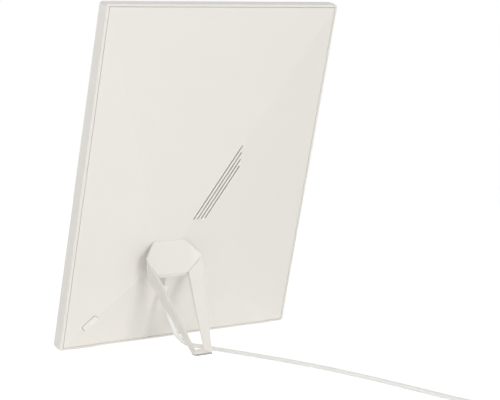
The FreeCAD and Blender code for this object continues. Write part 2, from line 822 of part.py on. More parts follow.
def facet(corners, depth):
    """A flat facet given thickness straight in toward the panel."""
    outline = Part.makePolygon([*corners, corners[0]])
    return Part.Face(outline).extrude(Vector(0, -depth, 0))


def hub_cap():
    """A thin faceted roof over the hinge: middle facet, two wings, and a lip under the middle."""
    top, wing, edge, lip = cap_corners()
    skin = value("cap_skin")
    roof = facet([top(-1), edge(-1), edge(1), top(1)], skin)
    facets = [facet([top(side), wing(side), edge(side)], skin) for side in (-1, 1)]
    facets.append(facet([edge(-1), lip(-1), lip(1), edge(1)], skin))
    roof = roof.multiFuse(facets).removeSplitter()
    above = value("plateau_rise")
    size = 2 * value("cap_corner_half")
    below = Part.makeBox(2 * size, size, 2 * size, Vector(-size, above - size, 0))
    subpart("hub_cap", shaped("hub_cap_shape", roof.cut(below)), HUB)


def hub_bracket():
    """The block under the cap that carries the hinge pins, up to the cap's inner face."""
    top, _, edge, _ = cap_corners()
    skin = Vector(0, -value("cap_skin"), 0)
    half = value("bracket_half")
    low = value("plateau_rise")

    def ceiling(z):
        share = (top(1).z - z) / (top(1).z - edge(1).z)
        return (top(1) + (edge(1) - top(1)) * share + skin).y

    bottom, upper = value("bracket_low"), value("bracket_high")
    fall = (ceiling(bottom) - ceiling(upper)) / (upper - bottom)
    upper = min(upper, top(1).z - (low - ceiling(top(1).z)) / fall)
    outline = [
        Vector(-half, low, bottom),
        Vector(-half, ceiling(bottom), bottom),
        Vector(-half, low, upper),
    ]
    block = Part.Face(Part.makePolygon([*outline, outline[0]])).extrude(Vector(2 * half, 0, 0))
    tools = [
        Part.makeCylinder(value("pin_radius"), value("bracket_half - pin_start"), place, Vector(1, 0, 0))
        for place in (
            Vector(value("pin_start"), value("pivot_rise"), value("hub_height")),
            Vector(-value("bracket_half"), value("pivot_rise"), value("hub_height")),
        )
    ]
    for x, z in hub_screw_places():
        place = Vector(value(x), low, value(z))
        tools.append(Part.makeCylinder(value("screw_radius"), value("screw_depth"), place, Y_AXIS))
    subpart("hub_bracket", shaped("hub_bracket_shape", block.cut(tools)), HUB)


def hub_screw_places():
    for x in ("(-screw_x)", "(screw_x)"):
        for z in ("(screw_low)", "(screw_high)"):
            yield x, z


def hub_screws():
    """Screws from inside the cover into the bracket."""
    seat = "(plateau_rise - cover_wall)"
    for i, (x, z) in enumerate(hub_screw_places(), start=1):
        base = (x, f"{seat} - screw_head_height", z)
        head = cylinder(f"screw_head_{i}", "y", base, "screw_head_radius", "screw_head_height")
        shank = cylinder(f"screw_shank_{i}", "y", (x, seat, z), "screw_radius", "cover_wall + screw_depth")
        subpart(f"hub_screw_{i}", fused(f"hub_screw_{i}_union", head, shank), HUB)


def hinge():
    """Pins pressed into the bracket, each with a friction washer beside its leg's ear."""
    for side, sign in (("left", -1), ("right", 1)):
        axis = ("pivot_rise", "hub_height")
        start = "pin_start" if sign > 0 else "(-pin_end)"
        pin = cylinder(f"pin_{side}", "x", (start, *axis), "pin_radius", "pin_end - pin_start")
        subpart(f"hinge_pin_{side}", pin, HUB)
        face = ("bracket_half" if sign > 0 else "(-bracket_half - washer_thickness)", *axis)
        disc = cylinder(f"washer_disc_{side}", "x", face, "washer_radius", "washer_thickness")
        hole = cylinder(f"washer_hole_{side}", "x", face, "pin_radius + pin_gap", "washer_thickness")
        subpart(f"friction_washer_{side}", cut(f"washer_{side}", disc, hole), HUB)


class Leg:
    """A leg in the hub frame: 'along' runs down its outer edge, 'inward' square to that, to the panel."""

    def __init__(self):
        _, wing, _, _ = cap_corners()
        self.root = wing(1)
        reach = value("foot_reach")
        self.foot = Vector(value("foot_half"), reach * math.cos(LEAN), reach * math.sin(LEAN))
        run = Vector(0, self.foot.y - self.root.y, self.foot.z - self.root.z)
        self.length = run.Length
        self.along = run.normalize()
        self.inward = Vector(0, self.along.z, -self.along.y)

    def point(self, x, along, inward):
        return Vector(x, self.root.y, self.root.z) + self.along * along + self.inward * inward

    def place(self, corner):
        """The along and inward coordinates of a point."""
        offset = corner - self.root
        return offset.dot(self.along), offset.dot(self.inward)

    def depth(self, along):
        """How far in the leg's underside lies."""
        root, foot = value("leg_root_depth"), value("leg_foot_depth")
        return root + (foot - root) * along / self.length

    def crotch(self):
        """Where the inner edge meets the foot bar, on the plane of the leg's outer facet."""
        edge = cap_corners()[2](1)
        normal = (edge - self.root).cross(self.foot - self.root)
        x, along = value("crotch_half"), self.length - value("crotch_from_foot")
        flat = self.point(x, along, 0)
        return flat + self.inward * (normal.dot(self.root - flat) / normal.dot(self.inward))

    def sweep(self, corners, sign):
        """A facet pushed inward and trimmed by the underside and the heel."""
        corners = [Vector(sign * corner.x, corner.y, corner.z) for corner in corners]
        thickness = 2 * value("leg_root_depth")
        solid = Part.Face(Part.makePolygon([*corners, corners[0]])).extrude(self.inward * thickness)
        over = value("leg_root_depth")
        heel = value("heel_along")
        half = value("cap_corner_half") + over
        heel_slope = (self.depth(heel) - value("heel_depth")) / heel
        profile = [
            self.point(-half, -over, -over),
            self.point(-half, self.length + over, -over),
            self.point(-half, self.length + over, self.depth(self.length + over)),
            self.point(-half, heel, self.depth(heel)),
            self.point(-half, -over, value("heel_depth") - heel_slope * over),
        ]
        keep = Part.Face(Part.makePolygon([*profile, profile[0]])).extrude(Vector(2 * half, 0, 0))
        return solid.common(keep)


def above_floor(shape, low, high):
    """The part of a stand piece between two levels over the floor, in the hub frame."""
    size = 4 * value("foot_reach")
    slab = Part.makeBox(size, size, high - low, Vector(-size / 2, -size / 2, low))
    slab.Placement = HUB.inverse().multiply(slab.Placement)
    return shape.common(slab)


def leg_shapes():
    """Both legs and the foot bar, down to the floor."""
    leg = Leg()
    edge = cap_corners()[2](1)
    crotch = leg.crotch()
    gap = value("leg_gap")
    outer_start = leg.root + (leg.foot - leg.root).normalize() * gap
    inner_start = edge + (crotch - edge).normalize() * gap
    corners = [outer_start, inner_start, crotch, leg.foot]
    shapes = {}
    for side, sign in (("left", -1), ("right", 1)):
        limb = leg.sweep(corners, sign)
        shapes[f"leg_{side}"] = limb.fuse(ear(leg, sign)).removeSplitter()
    mirrored = [Vector(-corner.x, corner.y, corner.z) for corner in (leg.foot, crotch)]
    shapes["foot_bar"] = leg.sweep([crotch, leg.foot, *mirrored], 1)
    return shapes


def ear(leg, sign):
    """The lug around the hinge pin and the neck that joins it to the leg under the cap's edge."""
    top, _, edge, _ = cap_corners()
    start = value("bracket_half + washer_thickness + ear_gap")
    width = value("ear_width")
    radius = value("ear_radius")
    pivot = Vector(start, value("pivot_rise"), value("hub_height"))
    along, inward = leg.place(pivot)
    slope = Vector(0, edge(1).y - top(1).y, edge(1).z - top(1).z)
    climb = slope.dot(leg.inward) / slope.dot(leg.along)
    corner_along, corner_inward = leg.place(edge(1))
    end = corner_along + 2 * value("leg_gap")
    lift = radius / math.cos(math.atan(climb))
    profile = [
        leg.point(start, along, inward - lift),
        leg.point(start, end, inward - lift + climb * (end - along)),
        leg.point(start, end, leg.depth(end)),
        leg.point(start, along, inward + radius),
    ]
    neck = Part.Face(Part.makePolygon([*profile, profile[0]])).extrude(Vector(width, 0, 0))
    lug = Part.makeCylinder(radius, width, pivot, X_AXIS)
    hole = Part.makeCylinder(value("pin_radius + pin_gap"), width, pivot, X_AXIS)
    solid = neck.fuse(lug).cut(hole)
    return solid if sign > 0 else solid.mirror(Vector(), X_AXIS)


def stand():
    """Legs and foot bar cut level above the rubber pad; the pad goes on to the floor."""
    level = value("foot_pad_thickness")
    shapes = leg_shapes()
    for node, shape in shapes.items():
        limb = above_floor(shape, level, 2 * value("panel_height"))
        subpart(node, shaped(node + "_shape", limb), HUB)
    soles = [above_floor(shape, 0, level) for shape in shapes.values()]
    sole = soles[0].multiFuse(soles[1:]).removeSplitter()
    subpart("foot_pad", shaped("foot_pad_shape", sole), HUB)


def dc_plug():
    """The right-angle plug with its barrel in the jack, and the strain relief."""
    across, tall = ("-plug_half_width", "plug_half_width"), ("plug_low", "plug_high")
    block = box("plug_block", across, ("plateau_rise", "plateau_rise + plug_height"), tall)
    middle = value("plateau_rise + plug_height / 2")
    block = rounded("plug_rounded", block, "plug_edge_round", lambda edge: edge.BoundBox.YMin > middle)
    start = ("0", "plateau_rise - barrel_length", "plateau_low")
    barrel = cylinder("barrel", "y", start, "barrel_radius", "barrel_length")
    bore = cylinder("barrel_bore_hole", "y", start, "barrel_bore", "barrel_length")
    subpart("dc_plug", cut("dc_plug_cut", fused("plug_solid", block, barrel), bore), HUB)
    relief = cone(
        "relief_cone", "z", ("0", "plateau_rise + cord_height", "plug_low - relief_length"),
        "relief_tip_radius", "relief_radius", "relief_length",
    )
    subpart("plug_relief", relief, HUB)


# ---- Cord ----

# Points of the cord in the part frame, after the strain relief's own axis.
CORD_HANG = [
    (34.35, -8.3, 38.4),
    (34.1, -6.1, 31.7),
    (33.5, -3.4, 25.0),
    (32.4, -0.8, 18.2),
    (30.9, 1.7, 12.2),
    (28.9, 4.4, 7.3),
    (26.3, 8.0, 3.8),
    (23.5, 13.2, 2.1),
]
CORD_FLOOR = [
    (21.0, 20.6),
    (18.5, 33.4),
    (15.0, 50.2),
    (10.9, 70.0),
    (6.7, 91.7),
    (2.6, 115.5),
    (-1.1, 142.0),
    (-3.4, 171.5),
    (-4.7, 203.0),
    (-4.9, 237.0),
    (-4.5, 270.0),
    (-3.8, 300.0),
    (-5.4, 326.0),
    (-12.8, 346.0),
    (-27.6, 358.9),
    (-46.0, 362.4),
    (-72.0, 362.4),
]
TAIL = [
    (-112.4, 326.0, 4.8),
    (-112.3, 317.5, 2.9),
    (-111.3, 309.5, 1.9),
    (-110.2, 301.5, 2.1),
    (-112.5, 293.9, 4.2),
    (-119.3, 286.2, 7.0),
]


def cord_path(points, name):
    """Straight runs joined by arcs that touch both; prints each radius in cord diameters."""
    points = [Vector(*point) for point in points]
    edges = []
    last = points[0]
    radii = []
    for before, here, after in zip(points, points[1:], points[2:]):
        run_in, run_out = here - before, after - here
        turn = run_in.getAngle(run_out)
        reach = 0.45 * min(run_in.Length, run_out.Length)
        radii.append(reach / math.tan(turn / 2))
        arc_start = here - run_in.normalize() * reach
        arc_end = here + run_out.normalize() * reach
        toward = (arc_start + arc_end) / 2 - here
        sagitta = reach * (1 / math.cos(turn / 2) - 1) / math.tan(turn / 2)
        middle = here + toward.normalize() * sagitta
        edges.append(Part.LineSegment(last, arc_start).toShape())
        edges.append(Part.Arc(arc_start, middle, arc_end).toShape())
        last = arc_end
    edges.append(Part.LineSegment(last, points[-1]).toShape())
    diameter = value("2 * cord_radius")
    print(name, "radii in diameters", [round(radius / diameter, 1) for radius in radii])
    return Part.Wire(edges)


def cord_tube(node, points):
    """The cord's round section swept along its path; its volume must be section times length."""
    path = cord_path(points, node)
    radius = value("cord_radius")
    first = Vector(*points[0])
    heading = Vector(*points[1]) - first
    section = Part.Wire(Part.makeCircle(radius, first, heading))
    tube = path.makePipeShell([section], True, False)
    expected = math.pi * radius**2 * path.Length
    if not 0.998 < tube.Volume / expected < 1.002:
        raise ValueError(f"{node} has volume {tube.Volume:.1f}, not {expected:.1f}")
    print(node, "length", round(path.Length, 1))
    subpart(node, shaped(node + "_tube", tube), FLOOR)


def power_cord():
    """From the relief's tip down to the floor and along it into the coil."""
    tip_height = value("plug_low - relief_length")
    rise = value("plateau_rise + cord_height")
    tip = HUB.multVec(Vector(0, rise, tip_height))
    first = HUB.multVec(Vector(0, rise, tip_height - value("relief_straight")))
    radius = value("cord_radius")
    floor = [(x, y, radius) for x, y in CORD_FLOOR]
    cord_tube("power_cord", [tuple(tip), tuple(first), *CORD_HANG, *floor])


def cord_coil():
    """The spare cord wound flat, as one ring, with the tie that holds it."""
    middle = ("coil_x", "coil_y", "0")
    disc = cylinder("coil_disc", "z", middle, "coil_outer", "coil_height")
    eye = cylinder("coil_eye", "z", middle, "coil_inner", "coil_height")
    ring = cut("coil_ring", disc, eye)
    coil = rounded("coil_rounded", ring, "coil_round", lambda edge: edge.Curve.TypeId == "Part::GeomCircle")
    subpart("cord_coil", coil, FLOOR)
    band_x = ("coil_x + coil_inner - tie_thickness", "coil_x + coil_outer + tie_thickness")
    band_y = ("coil_y - tie_width / 2", "coil_y + tie_width / 2")
    band = box("tie_band", band_x, band_y, ("0", "coil_height + tie_thickness"))
    room = cylinder("tie_room", "z", middle, "coil_outer", "coil_height")
    core = cylinder("tie_core", "z", middle, "coil_inner", "coil_height")
    subpart("coil_tie", cut("tie_cut", band, cut("tie_room_ring", room, core)), FLOOR)


def adapter():
    """The mains adapter lying beside the coil, with its relief and two round prongs."""
    heading = math.radians(value("adapter_heading"))
    ahead = Vector(math.cos(heading), math.sin(heading), 0)
    level = value("adapter_cord_height")
    last = Vector(*TAIL[-1])
    tip = last + ahead * (Vector(*TAIL[-2]) - last).Length
    cord_tube("cord_tail", [*TAIL, tuple(tip)])
    frame = Placement(Vector(tip.x, tip.y, 0), Rotation(Z_AXIS, value("adapter_heading")))
    relief = cone(
        "adapter_relief_cone", "x", ("0", "0", "adapter_cord_height"), "adapter_relief_tip",
        "adapter_relief_radius", "adapter_relief_length",
    )
    subpart("adapter_relief", relief, frame)
    front = "(adapter_relief_length + adapter_length - adapter_face_thickness)"
    end = "(adapter_relief_length + adapter_length)"
    across = ("-adapter_width / 2", "adapter_width / 2")
    block = box("adapter_block", ("adapter_relief_length", front), across, ("0", "adapter_height"))
    body = rounded("adapter_rounded", block, "adapter_round", lambda edge: parallel_to(edge, X_AXIS))
    subpart("adapter_body", body, frame)
    inset = "adapter_face_inset"
    face = box(
        "adapter_face_box", (front, end), (f"{inset} - adapter_width / 2", f"adapter_width / 2 - {inset}"),
        (inset, f"adapter_height - {inset}"),
    )
    subpart("adapter_face", face, frame)
    for i, sign in ((1, -1), (2, 1)):
        base = (end, f"{sign} * prong_spacing / 2", "adapter_height / 2")
        prong = cylinder(f"prong_{i}", "x", base, "prong_radius", "prong_length")
        subpart(f"adapter_prong_{i}", prong, frame)


front_frame()
edge_pads()
optical_stack()
led_strips()
back_plate()
rear_cover()
vent_baffle()
power_button()
switch()
led_leads()
driver_board()
hub_cap()
hub_bracket()
hub_screws()
hinge()
stand()
dc_plug()
power_cord()
cord_coil()
adapter()
doc.recompute()

# ---- Checks and export ----

for thing in doc.Objects:
    if "Invalid" in thing.State or "Error" in thing.State:
        raise RuntimeError(f"{thing.Name} did not recompute: {thing.State}")
for thing in subparts:
    if thing.Shape.isNull() or not thing.Shape.isValid() or not thing.Shape.Solids:
        raise RuntimeError(f"{thing.Label} has no valid solid")

os.makedirs("parts", exist_ok=True)
for thing in subparts:
    thing.Shape.exportStep(f"parts/{thing.Label}.step")
print(len(subparts), "sub-parts written")
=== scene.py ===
# Light therapy lamp, on its lower edge and a folding two-legged stand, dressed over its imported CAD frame.
import json
import math

import bmesh
import bpy
import numpy as np
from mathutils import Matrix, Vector


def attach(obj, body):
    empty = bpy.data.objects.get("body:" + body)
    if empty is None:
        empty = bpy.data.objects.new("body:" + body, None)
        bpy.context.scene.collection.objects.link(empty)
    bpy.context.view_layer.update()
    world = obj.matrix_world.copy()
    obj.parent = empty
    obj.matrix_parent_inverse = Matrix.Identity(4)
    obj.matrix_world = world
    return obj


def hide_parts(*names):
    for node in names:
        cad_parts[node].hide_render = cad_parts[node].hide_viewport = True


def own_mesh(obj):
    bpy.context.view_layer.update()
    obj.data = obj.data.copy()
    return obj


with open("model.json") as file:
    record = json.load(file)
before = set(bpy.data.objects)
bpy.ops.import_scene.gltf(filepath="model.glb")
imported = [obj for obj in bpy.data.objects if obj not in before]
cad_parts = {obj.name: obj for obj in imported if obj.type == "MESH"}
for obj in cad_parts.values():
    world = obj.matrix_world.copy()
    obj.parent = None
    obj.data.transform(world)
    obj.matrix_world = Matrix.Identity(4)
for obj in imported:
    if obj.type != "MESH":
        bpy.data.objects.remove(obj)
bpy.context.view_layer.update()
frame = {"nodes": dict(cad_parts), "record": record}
nodes = frame["nodes"]
slotOf = {part["node"]: part["material_slot"] for part in frame["record"]["subparts"]}
print("frame:", len(nodes), "nodes")

# Places that the pieces share, in millimetres.
mm = 0.001
lean = math.radians(14.62)
panelShift = 38.5096  # how far the panel's rear bottom edge lies ahead of the origin
hubSide = 34.35  # how far along X the hub's middle lies from the panel's


def fromPanel(points):
    # The panel's axes (x across, y out of its back, z up it) turned back by the lean, in metres:
    # Y is z sin + y cos less the shift, and Z is z cos - y sin.
    x, y, z = np.moveaxis(np.asarray(points, float), -1, 0)
    sine, cosine = math.sin(lean), math.cos(lean)
    return np.stack([x, z * sine + y * cosine - panelShift, z * cosine - y * sine], -1) * mm


def fromHub(points):
    # The same axes with x counted from the hub's middle.
    return fromPanel(np.asarray(points, float) + [hubSide, 0, 0])


cameraSeat = {
    "place": (0.8977, 1.1944, 0.2825),
    "looksAlong": (-0.6190, -0.7782, -0.1059),
    "lens": 125.92,
    "filmWidth": 36,
}


def makeCamera(seat):
    data = bpy.data.cameras.new("viewpoint")
    data.lens, data.sensor_width = seat["lens"], seat["filmWidth"]
    camera = bpy.data.objects.new("viewpoint", data)
    camera.location = seat["place"]
    camera.rotation_mode = "QUATERNION"
    camera.rotation_quaternion = Vector(seat["looksAlong"]).to_track_quat("-Z", "Y")
    bpy.context.scene.collection.objects.link(camera)
    bpy.context.scene.camera = camera


makeCamera(cameraSeat)


class Finish:
    # A material: plain values go on the shader's own sockets, and textures read Object coordinates.

    def __init__(self, name, colour, roughness, **sockets):
        self.material = bpy.data.materials.new(name)
        self.material.use_nodes = True
        self.tree = self.material.node_tree
        self.shader = self.tree.nodes["Principled BSDF"]
        self.shader.inputs["Base Color"].default_value = (*colour, 1)
        self.shader.inputs["Roughness"].default_value = roughness
        for socket, amount in sockets.items():
            self.shader.inputs[socket.replace("_", " ")].default_value = amount
        self.height = None
        self.place = self.node("ShaderNodeTexCoord").outputs["Object"]

    def node(self, kind, **settings):
        made = self.tree.nodes.new(kind)
        for setting, amount in settings.items():
            setattr(made, setting, amount)
        return made

    def link(self, start, end):
        self.tree.links.new(start, end)

    def noise(self, scale, detail, stretch=(1, 1, 1)):
        turned = self.node("ShaderNodeMapping")
        turned.inputs["Scale"].default_value = stretch
        self.link(self.place, turned.inputs["Vector"])
        made = self.node("ShaderNodeTexNoise")
        made.inputs["Scale"].default_value = scale
        made.inputs["Detail"].default_value = detail
        self.link(turned.outputs["Vector"], made.inputs["Vector"])
        return made.outputs["Fac"]

    def spread(self, source, low, high, start=0.3, end=0.7):
        # Carries the noise's usual range, start to end, over to low to high.
        made = self.node("ShaderNodeMapRange")
        ranges = {"From Min": start, "From Max": end, "To Min": low, "To Max": high}
        for socket, amount in ranges.items():
            made.inputs[socket].default_value = amount
        self.link(source, made.inputs["Value"])
        return made.outputs["Result"]

    def tint(self, source, dark, light):
        # The colour goes from dark to light with the texture.
        made = self.node("ShaderNodeMix", data_type="RGBA")
        made.inputs[6].default_value = (*dark, 1)
        made.inputs[7].default_value = (*light, 1)
        self.link(source, made.inputs[0])
        self.link(made.outputs[2], self.shader.inputs["Base Color"])

    def shine(self, source, low, high):
        self.link(self.spread(source, low, high), self.shader.inputs["Roughness"])

    def relief(self, source, depth):
        # Each call lays a finer relief over the one before.
        made = self.node("ShaderNodeBump")
        made.inputs["Distance"].default_value = depth
        made.inputs["Strength"].default_value = 1.0
        self.link(source, made.inputs["Height"])
        if self.height:
            self.link(self.height, made.inputs["Normal"])
        self.height = made.outputs["Normal"]
        self.link(self.height, self.shader.inputs["Normal"])


def shades(colour, spread):
    # The same colour a little darker and a little lighter.
    return tuple(c * (1 - spread) for c in colour), tuple(min(1, c * (1 + spread)) for c in colour)


mouldedMarks = {"colourPatches": (22, 3), "glossPatches": (60, 4), "glossSwing": 0.05}
metalMarks = {"colourPatches": (90, 4), "colourSwing": 0.05, "smoother": 0.08, "rougher": 0.10}
ventWeave = {"roughness": 0.85, "threads": 420, "dark": 0.5, "light": 1.8, "depth": 0.0002}
boardMask = {
    "roughness": 0.35,
    "specular": 0.55,
    "tracks": {"Scale": 140, "Mortar Size": 0.05, "Brick Width": 0.9, "Row Height": 0.3},
    "trackDepth": 0.00005,
    "glossPatches": (300, 2),
    "gloss": (0.28, 0.42),
}


def moulded(name, colour, roughness, grain, depth, unevenness=0.012, **sockets):
    # Moulded plastic or rubber: fine spark grain, faint uneven gloss and colour.
    marks, swing = mouldedMarks, mouldedMarks["glossSwing"]
    finish = Finish(name, colour, roughness, **sockets)
    finish.tint(finish.noise(*marks["colourPatches"]), *shades(colour, unevenness))
    finish.shine(finish.noise(*marks["glossPatches"]), roughness - swing, roughness + swing)
    finish.relief(finish.noise(grain, 3), depth)
    return finish


def metal(name, colour, roughness, grain, depth, stretch=(1, 1, 1)):
    # Metal with fine drawn or tumbled marks.
    marks = metalMarks
    finish = Finish(name, colour, roughness, Metallic=1.0)
    finish.tint(finish.noise(*marks["colourPatches"]), *shades(colour, marks["colourSwing"]))
    gloss = roughness - marks["smoother"], roughness + marks["rougher"]
    finish.shine(finish.noise(grain, 3, stretch), *gloss)
    finish.relief(finish.noise(grain, 2, stretch), depth)
    return finish


def meshCloth(name, colour, weave):
    # Woven dark mesh: two crossed waves.
    finish = Finish(name, colour, weave["roughness"])
    waves = []
    for direction in "XZ":
        bands = {"wave_type": "BANDS", "bands_direction": direction, "wave_profile": "SIN"}
        wave = finish.node("ShaderNodeTexWave", **bands)
        wave.inputs["Scale"].default_value = weave["threads"]
        finish.link(finish.place, wave.inputs["Vector"])
        waves.append(wave.outputs["Fac"])
    crossed = finish.node("ShaderNodeMath", operation="MULTIPLY")
    finish.link(waves[0], crossed.inputs[0])
    finish.link(waves[1], crossed.inputs[1])
    dark, light = (tuple(c * weave[side] for c in colour) for side in ("dark", "light"))
    finish.tint(crossed.outputs[0], dark, light)
    finish.relief(crossed.outputs[0], weave["depth"])
    return finish


def solderMask(name, colour, track, mask):
    # Solder mask with lighter tracks beneath it.
    finish = Finish(name, colour, mask["roughness"], Specular_IOR_Level=mask["specular"])
    brick = finish.node("ShaderNodeTexBrick")
    turned = finish.node("ShaderNodeMapping")
    turned.inputs["Rotation"].default_value = (math.pi / 2, 0, 0)
    finish.link(finish.place, turned.inputs["Vector"])
    finish.link(turned.outputs["Vector"], brick.inputs["Vector"])
    for socket, amount in mask["tracks"].items():
        brick.inputs[socket].default_value = amount
    finish.tint(brick.outputs["Fac"], colour, track)
    finish.relief(brick.outputs["Fac"], mask["trackDepth"])
    finish.shine(finish.noise(*mask["glossPatches"]), *mask["gloss"])
    return finish


warmWhite = (0.800, 0.776, 0.729)
milky = {"Subsurface_Weight": 0.15, "Subsurface_Radius": (1.0, 1.0, 1.0), "Subsurface_Scale": 0.003}
clear = {"Transmission_Weight": 0.85, "IOR": 1.49}

# Each slot's finish: name, colour, roughness, how fine its grain is and how deep, and what else it needs.
finishes = {
    "housing": moulded("warmWhiteShell", warmWhite, 0.46, 2600, 0.000035, 0.008),
    "button": moulded("buttonPlastic", (0.82, 0.805, 0.765), 0.42, 2600, 0.00003),
    "diffuser": moulded("opalDiffuser", (0.86, 0.86, 0.84), 0.34, 3600, 0.00003, 0.006, **milky),
    "guide": moulded("clearAcrylic", (0.93, 0.96, 0.96), 0.08, 900, 0.00001, 0.004, **clear),
    "reflector": moulded("reflectorFilm", (0.88, 0.88, 0.88), 0.55, 1800, 0.00002),
    "sheet_metal": metal("aluminiumSheet", (0.72, 0.73, 0.74), 0.38, 500, 0.00001, (12, 1, 1)),
    "strip": moulded("stripMask", (0.84, 0.84, 0.80), 0.32, 1500, 0.00002),
    "board": solderMask("greenBoard", (0.015, 0.10, 0.035), (0.05, 0.22, 0.08), boardMask),
    "component": moulded("moduleResin", (0.018, 0.018, 0.02), 0.38, 2400, 0.00003, 0.2),
    "ferrite": moulded("ferriteCore", (0.035, 0.034, 0.034), 0.72, 1400, 0.00006, 0.25),
    "lead": moulded("flatLead", (0.66, 0.65, 0.61), 0.48, 1600, 0.00002),
    "mesh": meshCloth("ventMesh", (0.05, 0.05, 0.055), ventWeave),
    "silicone": moulded("siliconeDome", (0.62, 0.62, 0.61), 0.42, 1600, 0.00002, 0.02, **milky),
    "pad": moulded("gripRubber", (0.42, 0.42, 0.405), 0.78, 1500, 0.00008, 0.04),
    "steel": metal("zincSteel", (0.62, 0.63, 0.64), 0.30, 700, 0.00001),
    "washer": moulded("acetalWasher", (0.80, 0.80, 0.78), 0.40, 1800, 0.00002),
    "plug": moulded("plugVinyl", (0.76, 0.75, 0.72), 0.52, 2000, 0.00003),
    "cord": moulded("cordVinyl", (0.90, 0.89, 0.87), 0.44, 1300, 0.00003),
    "tie": moulded("tieVinyl", (0.035, 0.035, 0.036), 0.50, 1500, 0.00004, 0.15),
    "adapter": moulded("adapterShell", (0.77, 0.76, 0.73), 0.50, 2200, 0.00005, 0.01),
    "prong": metal("nickelPin", (0.78, 0.77, 0.75), 0.18, 800, 0.000005),
}
print("finishes:", len(finishes))


def addPiece(name, mesh, slotName, standsFor, body="panel"):
    # Puts a finished mesh or curve into the scene as a piece that rides on its body and stands for nodes.
    piece = bpy.data.objects.new(name, mesh)
    bpy.context.scene.collection.objects.link(piece)
    mesh.materials.append(finishes[slotName].material)
    if hasattr(mesh, "polygons"):
        mesh.polygons.foreach_set("use_smooth", [True] * len(mesh.polygons))
    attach(piece, body)
    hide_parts(*standsFor)
    return piece


def gridFaces(rows, columns):
    # Quads between the rows of a grid whose columns close round.
    row, column = np.meshgrid(np.arange(rows - 1), np.arange(columns), indexing="ij")
    beside = (column + 1) % columns
    here, onward = row * columns, (row + 1) * columns
    corners = [here + column, here + beside, onward + beside, onward + column]
    return np.stack(corners, -1).reshape(-1, 4)


def facedOut(mesh):
    # Turns every face outward.
    work = bmesh.new()
    work.from_mesh(mesh)
    bmesh.ops.recalc_face_normals(work, faces=work.faces)
    work.to_mesh(mesh)
    work.free()
    return mesh


def tubeMesh(name, rings):
    # Rings of points round a path, joined in turn; the first and last are closed with a face each.
    rows, columns = rings.shape[:2]
    faces = gridFaces(rows, columns).tolist()
    faces += [list(range(columns))[::-1], list(range((rows - 1) * columns, rows * columns))]
    mesh = bpy.data.meshes.new(name)
    mesh.from_pydata(rings.reshape(-1, 3).tolist(), [], faces)
    return facedOut(mesh)


def turnedRings(along, radii, steps, start, heading):
    # A profile turned about an axis: each point is start + distance * heading + radius * spoke, where the
    # spoke goes round in equal steps of the angle, as its cosine aside and its sine above.
    start, heading = np.asarray(start, float), np.asarray(heading, float)
    heading = heading / np.linalg.norm(heading)
    aside = np.cross(heading, [0.0, 1.0, 0.0] if abs(heading[1]) < 0.9 else [1.0, 0.0, 0.0])
    aside /= np.linalg.norm(aside)
    above = np.cross(heading, aside)
    angle = np.linspace(0, 2 * np.pi, steps, endpoint=False)
    spoke = np.cos(angle)[:, None] * aside + np.sin(angle)[:, None] * above
    along, radii = np.asarray(along, float), np.asarray(radii, float)
    return start + along[:, None, None] * heading + radii[:, None, None] * spoke


easing = {"weld": 0.000002, "flatSeam": 0.4, "segments": 3, "sharpest": 28}


def easedCopy(node, name, width, body="panel"):
    # A copy of a node's mesh, merged and cleared of flat seams, with its edges rounded off by a Bevel.
    mesh = nodes[node].data.copy()
    mesh.name = name
    mesh.materials.clear()
    work = bmesh.new()
    work.from_mesh(mesh)
    bmesh.ops.remove_doubles(work, verts=work.verts, dist=easing["weld"])
    seam = math.radians(easing["flatSeam"])
    bmesh.ops.dissolve_limit(work, angle_limit=seam, verts=work.verts, edges=work.edges)
    work.to_mesh(mesh)
    work.free()
    piece = addPiece(name, mesh, slotOf[node], [node], body)
    bevel = piece.modifiers.new("easedEdges", "BEVEL")
    bevel.width, bevel.segments = width, easing["segments"]
    bevel.limit_method, bevel.angle_limit = "ANGLE", math.radians(easing["sharpest"])
    bevel.use_clamp_overlap = True
    evened = piece.modifiers.new("evenShading", "WEIGHTED_NORMAL")
    evened.keep_sharp = True
    return piece


# The cord: from the relief's tip down to the floor, along it, into the coil, and on to the adapter.
cordLead = {
    "radius": 1.9,
    "tip": (0, 16.9, 58.0),  # from here on in the hub's axes
    "belowTip": (0, 16.9, 51.5),
    "hangs": [  # from here on in the part's own axes
        (34.35, -8.3, 38.4),
        (34.1, -6.1, 31.7),
        (33.5, -3.4, 25.0),
        (32.4, -0.8, 18.2),
        (30.9, 1.7, 12.2),
        (28.9, 4.4, 7.3),
        (26.3, 8.0, 3.8),
        (23.5, 13.2, 2.1),
    ],
    "lies": [  # with the cord's radius as their height
        (21.0, 20.6),
        (18.5, 33.4),
        (15.0, 50.2),
        (10.9, 70.0),
        (6.7, 91.7),
        (2.6, 115.5),
        (-1.1, 142.0),
        (-3.4, 171.5),
        (-4.7, 203.0),
        (-4.9, 237.0),
        (-4.5, 270.0),
        (-3.8, 300.0),
        (-5.4, 326.0),
        (-12.8, 346.0),
        (-27.6, 358.9),
        (-46.0, 362.4),
    ],
    "tail": [
        (-112.4, 326.0, 5.6),
        (-112.3, 317.5, 3.9),
        (-111.3, 309.5, 2.1),
        (-110.2, 301.5, 2.1),
        (-112.5, 293.9, 4.2),
        (-119.3, 286.2, 7.0),
        (-127.04, 278.88, 7.0),
    ],
    "order": 3,
    "stepsPerPoint": 5,
    "roundness": 3,
}
cordCoil = {
    "middle": (-82.0, 332.0),
    "outer": 30.4,
    "inner": 14.8,
    "turns": 4,  # in each of the two layers
    "climb": 0.25,
    "pointsPerTurn": 16,
    "enters": 90,
    "leaves": 8.25,
}


